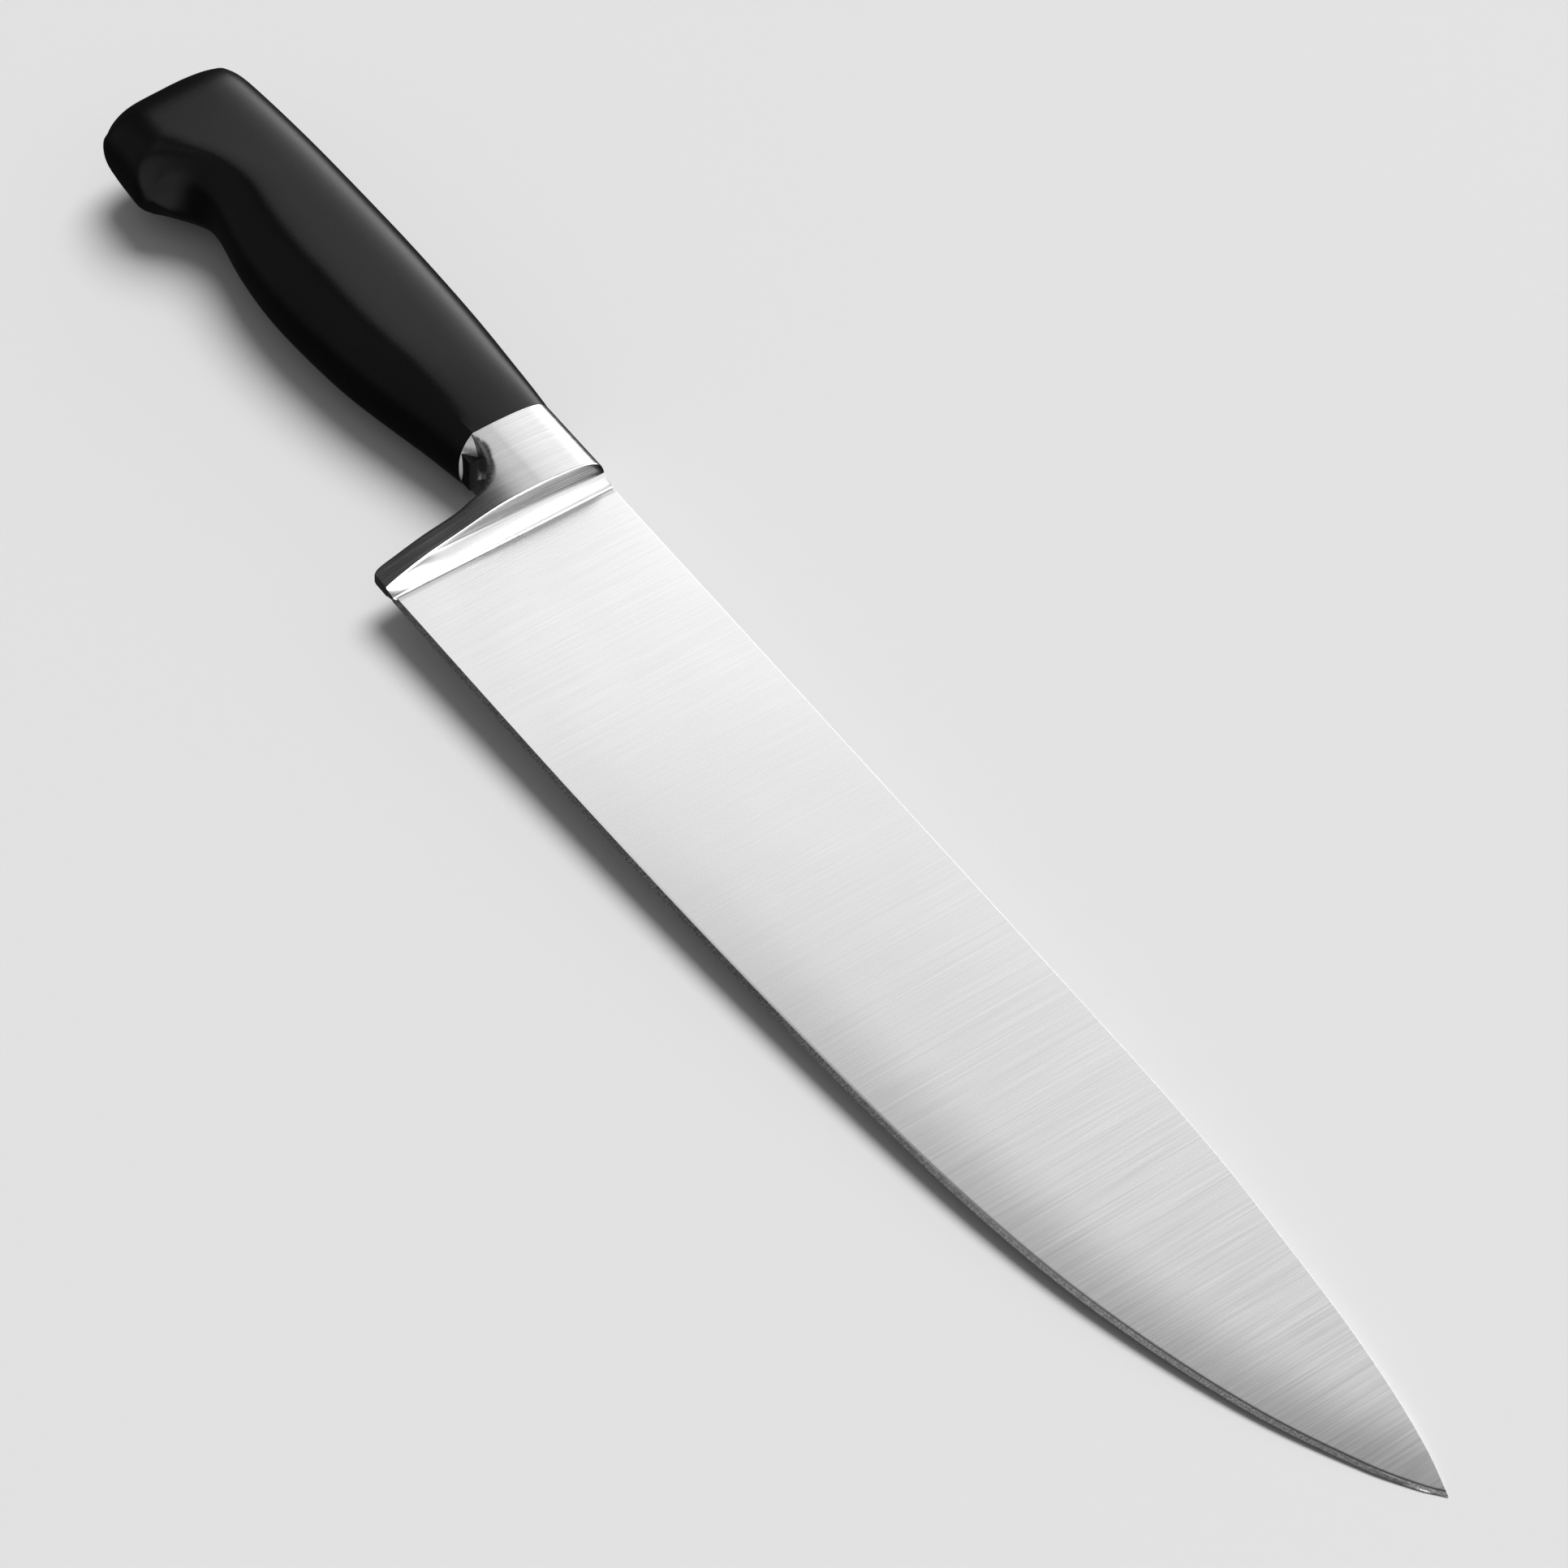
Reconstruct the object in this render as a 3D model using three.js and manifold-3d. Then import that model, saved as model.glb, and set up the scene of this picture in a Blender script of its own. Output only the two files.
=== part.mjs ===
// Chef's knife: one steel forging (blade, full bolster and hidden tang) in a moulded two-shell handle.
//
// Millimetres. While the knife is being drawn it stands in its own frame: X runs along the blade to
// the tip, Y points from the cutting edge to the spine, Z is across the thickness, and the origin is
// the corner where the spine meets the front of the bolster. Both sides are alike about Z = 0.
// At the end the knife is laid on its left side, on Z = 0, as it rests on a worktop.

import * as THREE from 'three';
import { mergeVertices } from 'three/addons/utils/BufferGeometryUtils.js';
import Module from 'manifold-3d';

const wasm = await Module();
wasm.setup();

// ---- driving dimensions -------------------------------------------------------------------------

const BLADE_LENGTH = 260;
const BEVEL_HEIGHT = 1.05;
const BEVEL_HALF_THICKNESS = 0.26;
const TIP_HALF_THICKNESS = 0.12;

const SHOULDER_X = -3.5;
const GUARD_BACK_X = -7.4;
const HEEL_Y = -49.3;
const NECK_BELLY_Y = -18;
const NECK_BELLY_X = -18.6;
const JOINT_X = -21.7;
const JOINT_BELLY_Y = -20.6;
const JOINT_HALF_THICKNESS = 8.3;
const SWELL_SLOPE = 0.9;
const SCOOP_RADIUS = 8.2;
const GUARD_TAPER = 1.6;

const HANDLE_START_X = -19.7;
const HANDLE_END_X = -137.9;
const BUTT_SLIVER = 0.02;
const BUTT_CORNER_X = -136.3;
const HOOK_CORNER_X = -116.8;
// How three of the handle's sides round over: the run to full height, and how square the curve is.
const SPINE_ROUND = { run: 12, squareness: 2.8 };
const BUTT_ROUND = { run: 11, squareness: 2.6 };
const HOOK_ROUND = { run: 9, squareness: 2.3 };
const WALL = 3.2;
const SPLIT_GAP = 0.3;
const FIT_GAP = 0.3;

const TANG_THICKNESS = 4;
const TANG_END_X = -114;
const TANG_MID_Y = -11.5;
const FRONT_BLOCK_X = -42;
const HOOK_X = -102;
const SLEEVE_WALL = 1.2;
const RIB_THICKNESS = 2;
const RIB_XS = [-68, -80];
const PEG_XS = [-55, -91];
const PEG_RADIUS = 2.4;
const BOSS_RADIUS = 4.4;

// Laid on its side, the knife touches at the tip and at the thickest part of the handle.
const REST_TILT_DEG = 1.915;

const steel = new THREE.MeshStandardMaterial({ color: 0xc9c9c6, roughness: 0.3, metalness: 1 });
const polymer = new THREE.MeshStandardMaterial({ color: 0x141414, roughness: 0.45, metalness: 0 });
const adhesive = new THREE.MeshStandardMaterial({ color: 0x8c8470, roughness: 0.6, metalness: 0 });

// ---- smooth curves through a few points -----------------------------------------------------------

// Returns a function of x: a cubic curve through the [x, value] points, which are in order of x.
function curveThrough(points) {
  const slope = (i) => {
    const a = points[Math.max(i - 1, 0)];
    const b = points[Math.min(i + 1, points.length - 1)];
    return (b[1] - a[1]) / (b[0] - a[0]);
  };
  return (x) => {
    const clamped = THREE.MathUtils.clamp(x, points[0][0], points.at(-1)[0]);
    const i = Math.min(points.findLastIndex((p) => p[0] <= clamped), points.length - 2);
    const [x0, v0] = points[i];
    const [x1, v1] = points[i + 1];
    const width = x1 - x0;
    const t = (clamped - x0) / width;
    const blend = t * t * (3 - 2 * t);
    const bulge = t * (1 - t) * ((1 - t) * slope(i) - t * slope(i + 1)) * width;
    return v0 + (v1 - v0) * blend + bulge;
  };
}

// Height of a rounded shoulder, from 0 at its foot (depth 0) to 1 at full depth.
function shoulder(depth, squareness) {
  return (1 - (1 - depth) ** squareness) ** (1 / squareness);
}

const spineY = curveThrough([
  [0, 0], [158, 0], [185, -0.6], [205, -2.1], [225, -4], [240, -6.2], [252, -8.8], [260, -11.35],
]);
const edgeY = curveThrough([
  [-2, -49.7], [60, -48.7], [110, -46.9], [155, -44], [185, -40.2],
  [208, -35], [230, -27.9], [248, -19.6], [256, -14.7], [260, -11.45],
]);
const spineHalfThickness = curveThrough([
  [-2, 1.65], [60, 1.5], [130, 1.2], [200, 0.9], [245, 0.55], [BLADE_LENGTH, TIP_HALF_THICKNESS],
]);

// Half thickness of the bolster's cheek down its middle, from the heel up to the spine.
const cheekHalfThickness = curveThrough([
  [HEEL_Y, 1.25], [-46, 2.3], [-41, 3.5], [-33, 5.3], [-27, 7], [-20, 7.85], [-13, 8.1],
]);

const handleHalfThickness = curveThrough([
  [HANDLE_END_X, 9.4], [-128, 10.2], [-118, 10.6], [-95, 10.6], [-68, 11], [-42, 10.1],
  [JOINT_X, JOINT_HALF_THICKNESS],
]);

// The belly flank: share of the full height, by the square root of the depth inside the outline over
// the flank's width. It is nearly straight, up to a soft ridge at 1.
const flankShare = curveThrough([
  [0, 0], [0.19, 0.31], [0.37, 0.5], [0.52, 0.615], [0.74, 0.775], [0.94, 0.93],
  [1.02, 0.972], [1.12, 0.99], [1.3, 1],
]);
const flankWidth = curveThrough([
  [HANDLE_END_X, 3.6], [-113, 4], [-107, 4.8], [-98, 6.6], [-75, 7.3], [-60, 6.6], [-47, 6], [JOINT_X, 4],
]);

// ---- solids ---------------------------------------------------------------------------------------

// Skins a list of rings in order of X, which have the same number of points, and caps the ends.
function loft(rings) {
  const count = rings[0].length;
  const positions = rings.flat().flatMap((p) => p.toArray());
  const index = [];
  for (let r = 0; r < rings.length - 1; r += 1) {
    for (let k = 0; k < count; k += 1) {
      const a = r * count + k;
      const b = r * count + ((k + 1) % count);
      index.push(a, b, a + count, b, b + count, a + count);
    }
  }
  const last = (rings.length - 1) * count;
  for (let k = 1; k < count - 1; k += 1) {
    index.push(0, k + 1, k, last, last + k, last + k + 1);
  }
  const geometry = new THREE.BufferGeometry();
  geometry.setAttribute('position', new THREE.Float32BufferAttribute(positions, 3));
  geometry.setIndex(index);
  return geometry;
}

// A ring that is symmetric about Z = 0, from its upper half: [y, z] points from spine to belly.
function symmetricRing(x, upperHalf) {
  const upper = upperHalf.map(([y, z]) => new THREE.Vector3(x, y, z));
  const lower = upperHalf.slice(1, -1).reverse().map(([y, z]) => new THREE.Vector3(x, y, -z));
  return [...upper, ...lower];
}

function toSolid(geometry) {
  const bare = geometry.clone();
  bare.deleteAttribute('normal');
  bare.deleteAttribute('uv');
  const merged = mergeVertices(bare, 1e-4);
  const triangles = [];
  for (let i = 0; i < merged.index.count; i += 3) {
    const [a, b, c] = merged.index.array.slice(i, i + 3);
    if (a !== b && b !== c && a !== c) triangles.push(a, b, c);
  }
  return new wasm.Manifold(new wasm.Mesh({
    numProp: 3,
    vertProperties: new Float32Array(merged.attributes.position.array),
    triVerts: new Uint32Array(triangles),
  }));
}

function toMesh(name, solid, material) {
  const { vertProperties, triVerts } = solid.getMesh();
  const geometry = new THREE.BufferGeometry();
  geometry.setAttribute('position', new THREE.BufferAttribute(vertProperties, 3));
  geometry.setIndex(new THREE.BufferAttribute(triVerts, 1));
  geometry.computeVertexNormals();
  const mesh = new THREE.Mesh(geometry, material);
  mesh.name = name;
  return mesh;
}

function box(minX, maxX, minY, maxY, minZ, maxZ) {
  const geometry = new THREE.BoxGeometry(maxX - minX, maxY - minY, maxZ - minZ);
  geometry.translate((minX + maxX) / 2, (minY + maxY) / 2, (minZ + maxZ) / 2);
  return toSolid(geometry);
}

// A round post or hole across the knife, on the tang's middle line.
function post(x, radius, minZ, maxZ) {
  const geometry = new THREE.CylinderGeometry(radius, radius, maxZ - minZ, 20);
  geometry.rotateX(Math.PI / 2);
  geometry.translate(x, TANG_MID_Y, (minZ + maxZ) / 2);
  return toSolid(geometry);
}

// ---- steel forging --------------------------------------------------------------------------------

// Half thickness of the ground blade face: straight from the spine down to the edge bevel.
function bladeHalfThickness(x, y) {
  const bevelTop = edgeY(x) + BEVEL_HEIGHT;
  const t = (spineY(x) - y) / (spineY(x) - bevelTop);
  const share = THREE.MathUtils.clamp(t, 0, 1);
  return THREE.MathUtils.lerp(spineHalfThickness(x), BEVEL_HALF_THICKNESS, share);
}

function makeBlade() {
  const stations = [
    -2, 20, 50, 80, 108, 132, 152, 168, 182, 194, 204, 213, 221, 229, 236, 243, 249, 254, 257.5,
  ];
  const rings = stations.map((x) => {
    const bevelTop = edgeY(x) + BEVEL_HEIGHT;
    return symmetricRing(x, [
      [spineY(x), 0],
      [spineY(x), spineHalfThickness(x)],
      [bevelTop, BEVEL_HALF_THICKNESS],
      [edgeY(x), 0],
    ]);
  });
  rings.push(symmetricRing(BLADE_LENGTH, [
    [spineY(BLADE_LENGTH), 0],
    [spineY(BLADE_LENGTH), TIP_HALF_THICKNESS],
    [edgeY(BLADE_LENGTH), TIP_HALF_THICKNESS],
    [edgeY(BLADE_LENGTH), 0],
  ]));
  return toSolid(loft(rings));
}

// Lowest Y of the bolster at x: the neck, the finger scoop, then the guard down to the heel.
function bolsterBellyY(x) {
  const guardTopX = GUARD_BACK_X - GUARD_TAPER;
  const scoopStartX = guardTopX - SCOOP_RADIUS;
  if (x <= scoopStartX) return NECK_BELLY_Y;
  if (x < guardTopX) {
    const across = x - scoopStartX;
    return NECK_BELLY_Y - SCOOP_RADIUS + Math.sqrt(SCOOP_RADIUS ** 2 - across ** 2);
  }
  const t = THREE.MathUtils.clamp((x - guardTopX) / GUARD_TAPER, 0, 1);
  return THREE.MathUtils.lerp(NECK_BELLY_Y - SCOOP_RADIUS, HEEL_Y, t);
}

// Half thickness of the bolster: rounded at the spine, crowned cheek, thinning down the finger guard.
function bolsterHalfThickness(y) {
  const roundDepth = 13;
  if (y < -roundDepth) return cheekHalfThickness(y);
  return cheekHalfThickness(-roundDepth) * shoulder(-y / roundDepth, 3);
}

function makeBolster() {
  const cheekPoints = 18;
  const bellyPoints = 4;
  const fullHeight = () => Infinity;
  const coveTop = (y) => bladeHalfThickness(0, y) + 1.9;
  const coveFoot = (y) => bladeHalfThickness(0, y) + 0.12;
  const bladeFace = (y) => bladeHalfThickness(0, y) * 0.97;
  const stations = [
    [JOINT_X, fullHeight], [-20.7, fullHeight], [-19.6, fullHeight], [NECK_BELLY_X, fullHeight],
    [-15, fullHeight], [-13, fullHeight], [-11.5, fullHeight], [-10.4, fullHeight], [-9.5, fullHeight],
    [-9.1, fullHeight], [-9, fullHeight], [-8.2, fullHeight], [GUARD_BACK_X, fullHeight],
    [SHOULDER_X, fullHeight], [SHOULDER_X + 0.4, coveTop], [-0.4, coveFoot], [0, bladeFace],
  ];
  const rings = stations.map(([x, limit]) => {
    const bellyY = bolsterBellyY(x);
    const upperHalf = [];
    for (let k = 0; k <= cheekPoints; k += 1) {
      const y = bellyY * (k / cheekPoints) ** 1.4;
      upperHalf.push([y, Math.min(bolsterHalfThickness(y), limit(y))]);
    }
    const wall = upperHalf.at(-1)[1];
    for (let k = 1; k <= bellyPoints; k += 1) {
      const z = wall * (1 - k / bellyPoints);
      const arc = JOINT_BELLY_Y + (NECK_BELLY_Y - JOINT_BELLY_Y) * (z / wall) ** 2;
      const swell = arc + SWELL_SLOPE * (x - JOINT_X);
      upperHalf.push([Math.min(bellyY, swell), z]);
    }
    return symmetricRing(x, upperHalf);
  });
  return toSolid(loft(rings));
}

function tangHalfHeight(x) {
  return THREE.MathUtils.mapLinear(x, JOINT_X, TANG_END_X, 7, 4.5);
}

// A flat bar in the handle's middle plane, made larger all round by the given clearance.
function makeTangBar(startX, endX, clearance) {
  const outline = new THREE.Shape([
    new THREE.Vector2(startX, TANG_MID_Y + tangHalfHeight(startX) + clearance),
    new THREE.Vector2(endX - clearance, TANG_MID_Y + tangHalfHeight(endX) + clearance),
    new THREE.Vector2(endX - clearance, TANG_MID_Y - tangHalfHeight(endX) - clearance),
    new THREE.Vector2(startX, TANG_MID_Y - tangHalfHeight(startX) - clearance),
  ]);
  const depth = TANG_THICKNESS + 2 * clearance;
  const geometry = new THREE.ExtrudeGeometry(outline, { depth, bevelEnabled: false });
  geometry.translate(0, 0, -depth / 2);
  return toSolid(geometry);
}

function makeForging() {
  let forging = makeBlade().add(makeBolster()).add(makeTangBar(JOINT_X + 3, TANG_END_X, 0));
  for (const x of PEG_XS) {
    forging = forging.subtract(post(x, PEG_RADIUS + FIT_GAP, -TANG_THICKNESS, TANG_THICKNESS));
  }
  return forging;
}

// ---- handle ---------------------------------------------------------------------------------------

// Starts a path at the first of the [x, y] points and curves it through the others.
function gripPath(points) {
  const [start, ...others] = points.map(([x, y]) => new THREE.Vector2(x, y));
  const path = new THREE.Path();
  path.moveTo(start.x, start.y);
  path.splineThru(others);
  return path;
}

function outlinePoints(path) {
  return path.getPoints(8).map((p) => new THREE.Vector3(p.x, p.y, 0));
}

// The handle's outline on the spine side, as points from the steel joint to the butt.
function spineSideOutline() {
  const path = gripPath([
    [HANDLE_START_X, -0.15], [-32, 0.8], [-44, 1.6], [-64, 1.9], [-86, 1.8], [-106, 1.3], [-133.5, -0.35],
  ]);
  path.bezierCurveTo(-137, -0.5, -137.85, -1.1, -137.87, -4.2);
  path.lineTo(HANDLE_END_X - BUTT_SLIVER, -9);
  return outlinePoints(path);
}

// The belly side: finger swell, palm swell, then the hook at the butt.
function bellySideOutline() {
  const path = gripPath([
    [HANDLE_START_X, JOINT_BELLY_Y + 0.3], [-31, -22.3], [-42, -24.5], [-54, -26.6], [-67, -27.8],
    [-79, -28.2], [-91, -27.2], [-100, -25.5],
  ]);
  path.bezierCurveTo(-105.5, -24.3, -109.6, -24, -113.8, -28);
  path.bezierCurveTo(-116.2, -30.8, -116.8, -33.4, -120.5, -33.5);
  path.lineTo(-130.8, -33.1);
  path.bezierCurveTo(-134.9, -32.8, -136.6, -30.3, -137, -25);
  path.lineTo(HANDLE_END_X - BUTT_SLIVER, -14);
  return outlinePoints(path);
}

// Y of an outline at x.
function outlineY(outline, x) {
  const i = Math.max(outline.findIndex((p) => p.x <= x), 1);
  const [a, b] = [outline[i - 1], outline[i]];
  return THREE.MathUtils.mapLinear(x, a.x, b.x, a.y, b.y);
}

function distanceTo(line, point) {
  const nearest = new THREE.Vector3();
  let best = Infinity;
  for (let i = 1; i < line.length; i += 1) {
    new THREE.Line3(line[i - 1], line[i]).closestPointToPoint(point, true, nearest);
    best = Math.min(best, nearest.distanceTo(point));
  }
  return best;
}

const spineSide = spineSideOutline();
const bellySide = bellySideOutline();

// The outline's four sides, parted at the middle of its round corners.
const handleSides = {
  spine: spineSide.filter((p) => p.x >= BUTT_CORNER_X),
  butt: [...spineSide, ...bellySide.toReversed()].filter((p) => p.x <= BUTT_CORNER_X),
  hook: bellySide.filter((p) => p.x >= BUTT_CORNER_X && p.x <= HOOK_CORNER_X),
  belly: bellySide.filter((p) => p.x >= HOOK_CORNER_X),
};

// Height of the handle's surface, which rounds over towards each side of the outline. The inset makes
// the same shape smaller all round.
function handleHeight(x, y, inset) {
  const here = new THREE.Vector3(x, y, 0);
  const depth = (side) => Math.max(distanceTo(side, here) - inset, 0);
  const rounded = (side, { run, squareness }) => shoulder(Math.min(depth(side) / run, 1), squareness);
  const share = rounded(handleSides.spine, SPINE_ROUND)
    * rounded(handleSides.butt, BUTT_ROUND)
    * rounded(handleSides.hook, HOOK_ROUND)
    * flankShare(Math.sqrt(depth(handleSides.belly) / flankWidth(x)));
  return (handleHalfThickness(x) - inset) * share;
}

// X of each section, closer together at the hook and where the butt rounds over.
function handleStations() {
  const hookStart = -100;
  const buttCount = 9;
  const stations = [];
  for (let x = HANDLE_START_X; x > hookStart; x -= 5) stations.push(x);
  for (let x = hookStart; x > HANDLE_END_X + BUTT_ROUND.run; x -= 2.4) stations.push(x);
  for (let i = buttCount; i >= 0; i -= 1) {
    stations.push(HANDLE_END_X + BUTT_ROUND.run * (i / buttCount) ** 2.2);
  }
  return stations;
}

// The handle's outer body, or with an inset, the same shape smaller by that much all round.
function makeHandleBody(inset, stations) {
  const depthCount = 8;
  const rings = stations.map((x) => {
    const top = outlineY(spineSide, x) - inset;
    const bottom = outlineY(bellySide, x) + inset;
    const middle = (top + bottom) / 2;
    const runs = Array.from({ length: depthCount + 1 }, (_, k) => (k / depthCount) ** 1.8);
    const ys = [
      ...runs.map((run) => THREE.MathUtils.lerp(top, middle, run)),
      ...runs.slice(0, -1).reverse().map((run) => THREE.MathUtils.lerp(bottom, middle, run)),
    ];
    const upperHalf = ys.map((y) => [y, handleHeight(x, y, inset)]);
    upperHalf[0][1] = 0;
    upperHalf.at(-1)[1] = 0;
    return symmetricRing(x, upperHalf);
  });
  return toSolid(loft(rings.reverse()));
}

// The hollow inside both shells: behind the front block, divided by the cross ribs, with a plain
// pocket in the butt, where the hook's outline leaves no room for a thin wall all round.
function makeHollow() {
  let hollow = makeHandleBody(WALL, [FRONT_BLOCK_X, -49, -56, -63, -70, -77, -84, -90, -96, HOOK_X]);
  hollow = hollow.add(box(HANDLE_END_X + 2 * WALL, HOOK_X - WALL, -22, -8, -6.5, 6.5));
  for (const x of RIB_XS) {
    hollow = hollow.subtract(box(x - RIB_THICKNESS / 2, x + RIB_THICKNESS / 2, -60, 20, -20, 20));
  }
  return hollow;
}

function makeShell(side) {
  const reach = 14;
  const behindJoint = box(-150, JOINT_X - FIT_GAP, -60, 20, -20, 20);
  const outer = makeHandleBody(0, handleStations()).intersect(behindJoint);
  const halfSpace = side > 0
    ? box(-150, 0, -60, 20, SPLIT_GAP / 2, reach)
    : box(-150, 0, -60, 20, -reach, -SPLIT_GAP / 2);
  let shell = outer.subtract(makeHollow());
  for (const x of PEG_XS) {
    shell = shell.add(post(x, BOSS_RADIUS, -9, 9));
  }
  shell = shell
    .subtract(makeTangBar(JOINT_X + 3, TANG_END_X, FIT_GAP))
    .subtract(makeTangBar(JOINT_X + 3, FRONT_BLOCK_X - 1, SLEEVE_WALL + 2 * FIT_GAP))
    .intersect(halfSpace);
  for (const x of PEG_XS) {
    const pegTop = 6;
    shell = side > 0
      ? shell.subtract(post(x, PEG_RADIUS + FIT_GAP, 0, pegTop + FIT_GAP))
      : shell.add(post(x, PEG_RADIUS, -TANG_THICKNESS, pegTop));
  }
  return shell;
}

// The cured adhesive round the front of the tang, which bonds it and seals the joint to the bolster.
function makeAdhesiveSleeve() {
  const outer = makeTangBar(JOINT_X - FIT_GAP, FRONT_BLOCK_X, SLEEVE_WALL + FIT_GAP);
  return outer.subtract(makeTangBar(JOINT_X + 3, FRONT_BLOCK_X - 10, FIT_GAP));
}

// ---- assembly -------------------------------------------------------------------------------------

function makeKnife() {
  const knife = new THREE.Group();
  knife.add(toMesh('blade_bolster_tang', makeForging(), steel));
  knife.add(toMesh('handle_shell_right', makeShell(1), polymer));
  knife.add(toMesh('handle_shell_left', makeShell(-1), polymer));
  knife.add(toMesh('tang_adhesive_sleeve', makeAdhesiveSleeve(), adhesive));
  knife.rotation.y = THREE.MathUtils.degToRad(REST_TILT_DEG);
  return knife;
}

// Sets the laid-down knife on Z = 0, with the middle of its footprint over the origin.
function standOnOrigin(object) {
  const placed = new THREE.Group();
  placed.add(object);
  const bounds = new THREE.Box3().setFromObject(placed, true);
  const centre = bounds.getCenter(new THREE.Vector3());
  object.position.set(-centre.x, -centre.y, -bounds.min.z);
  return placed;
}

export default standOnOrigin(makeKnife());
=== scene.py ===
"""Looks for the chef's knife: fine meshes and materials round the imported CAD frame.

The meshes are drawn in the knife's own frame, in millimetres, and then laid down with the tilt at
which the knife rests: X runs along the blade to the tip, Y from the cutting edge to the spine, Z
across the thickness, with the origin where the spine meets the front of the bolster.
"""

import math

import bmesh
import bpy
from mathutils import Matrix, Vector


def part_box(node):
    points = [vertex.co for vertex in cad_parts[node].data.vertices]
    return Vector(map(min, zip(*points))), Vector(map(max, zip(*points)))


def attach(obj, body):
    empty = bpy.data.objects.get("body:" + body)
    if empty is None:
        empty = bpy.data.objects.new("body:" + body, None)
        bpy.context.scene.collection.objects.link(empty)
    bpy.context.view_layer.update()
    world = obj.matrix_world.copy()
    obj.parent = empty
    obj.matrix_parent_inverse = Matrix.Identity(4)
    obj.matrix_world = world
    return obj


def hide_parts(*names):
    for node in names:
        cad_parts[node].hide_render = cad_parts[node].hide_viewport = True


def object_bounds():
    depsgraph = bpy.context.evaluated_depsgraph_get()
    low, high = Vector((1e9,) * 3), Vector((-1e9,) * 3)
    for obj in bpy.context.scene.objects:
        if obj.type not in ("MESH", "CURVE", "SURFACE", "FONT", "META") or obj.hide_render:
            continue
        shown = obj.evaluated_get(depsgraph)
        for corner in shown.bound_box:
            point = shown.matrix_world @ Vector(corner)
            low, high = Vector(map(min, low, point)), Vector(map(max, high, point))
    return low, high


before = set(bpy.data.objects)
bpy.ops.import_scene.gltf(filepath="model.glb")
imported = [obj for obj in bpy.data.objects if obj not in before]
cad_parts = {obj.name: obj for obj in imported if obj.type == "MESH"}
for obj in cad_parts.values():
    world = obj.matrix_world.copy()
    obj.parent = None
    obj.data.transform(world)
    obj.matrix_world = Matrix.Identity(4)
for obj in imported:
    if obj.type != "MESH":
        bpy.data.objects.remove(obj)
cad_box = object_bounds()

# ---- driving dimensions, millimetres in the knife's own frame ---------------------------------------

MM = 0.001
REST_TILT = math.radians(1.915)
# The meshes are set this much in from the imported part's tip and table side, to stay inside its box.
PLACE_SLACK = 0.01

BLADE_LENGTH = 260.0
HEEL_EDGE_Y = -49.7
HEEL_HALF_THICKNESS = 1.65
BEVEL_HEIGHT = 1.05
# The corner between spine and face is eased by this much where the blade is thickest.
SPINE_EASE = 0.14
# A narrow strip beside an edge of the blade keeps the shading of the face beside it flat.
EDGE_STRIP = 0.04
# Over its last millimetres the blade's bevel shrinks, to this share of its height at the very tip.
TIP_FADE = 12
TIP_SHARE = 0.04
EASE_STEPS = 6
FACE_STEPS = 14
# Names under which the steel's mesh stores values that its material reads.
BEVEL_ATTRIBUTE = "above_bevel"
WEDGE_ATTRIBUTE = "on_wedge"
# Finish and painted highlight: the blade is brighter than the bolster, and the cove has painted shade
# above and a painted highlight at the heel.
FINISH_AND_HIGHLIGHT_ATTRIBUTE = "finish_and_highlight"

BOLSTER_HALF = 8.2
BOLSTER_ROUND = 13.0
SQUARENESS = 4.0
NECK_BELLY_Y = -18.0
SCOOP_START_X = -21.2
SCOOP_LENGTH = 12.0
SCOOP_DEPTH = 8.6
HEEL_Y = -49.3
# The fillet between the cheek and the belly grows from one share of its radius to the other.
FILLET_SHARES = (0.08, 1.1)
FILLET_START_X = -21.4
FILLET_RUN = 4.5
WALL_STEPS = 4
# Where the wall does not swell, the points below this height stand for the swell's arc.
PLAIN_ARC = 0.3
GUARD_RINGS = (0.12, 0.26, 0.42, 0.6, 0.78, 0.87)
CREASE_ROUND = 0.35
CREASE_ROUND_SHARE = 0.2
CREASE_STEPS = 6
# The steep wedge between the crease and the cove leans forward by this much of its height.
WEDGE_LEAN = 0.04
# A wedge at least this high gets its full painted shade; on a lower one it fades.
WEDGE_FULL_HEIGHT = 0.8
# Points are sorted into wedge, cove and bolster with this much to spare.
SORT_MARGIN = 0.01
WEDGE_REACH = 0.3
# Stored as the distance above the bevel where there is no blade.
NO_BEVEL = 30.0
LEAST_WEDGE = 0.02
COVE_TOP = 3.5
COVE_FOOT_X = -0.3
COVE_LIP = 0.1
# How bright the cove is painted: painted shade above, a painted highlight at the heel, changing over a
# run of Y.
COVE_SHADED = -0.6
COVE_HIGHLIGHT = 0.75
COVE_SHADED_Y = -34
COVE_HIGHLIGHT_RUN = 10
# The cove's section from the wedge to the blade: (share of its run, share of its height).
COVE_PROFILE = [
    (0.02, 0.97), (0.06, 0.92), (0.16, 0.81), (0.3, 0.68), (0.46, 0.54), (0.62, 0.41),
    (0.78, 0.3), (0.92, 0.22), (1.0, 0.0),
]

JOINT_X = -21.7
JOINT_BELLY_Y = -20.8
JOINT_RIDGE_Y = -17.8
JOINT_RIDGE_Z = 7.8
JOINT_ARC = 2.6
JOINT_GAP = 0.08
JOINT_BLEND = 22.0
SWELL_SLOPE = 0.9
SWELL_STEPS = 24

HANDLE_END_X = -137.88
BUTT_SLIVER = 0.02
BUTT_FLAT_TOP_Y = -9
BUTT_FLAT_BOTTOM_Y = -14
HANDLE_WALL = 3.2
GRIP_STEP = 2
HOLLOW_STEPS = 12
CORNER_STEPS = 16
SECTION_STEPS = 20
SECTION_SQUARENESS = 3.0
# How three of the handle's sides round over: the run to full height, and how square the curve is.
SPINE_ROUND = (12.0, 2.8)
BUTT_ROUND = (11.0, 2.6)
HOOK_ROUND = (9.0, 2.3)
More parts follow.
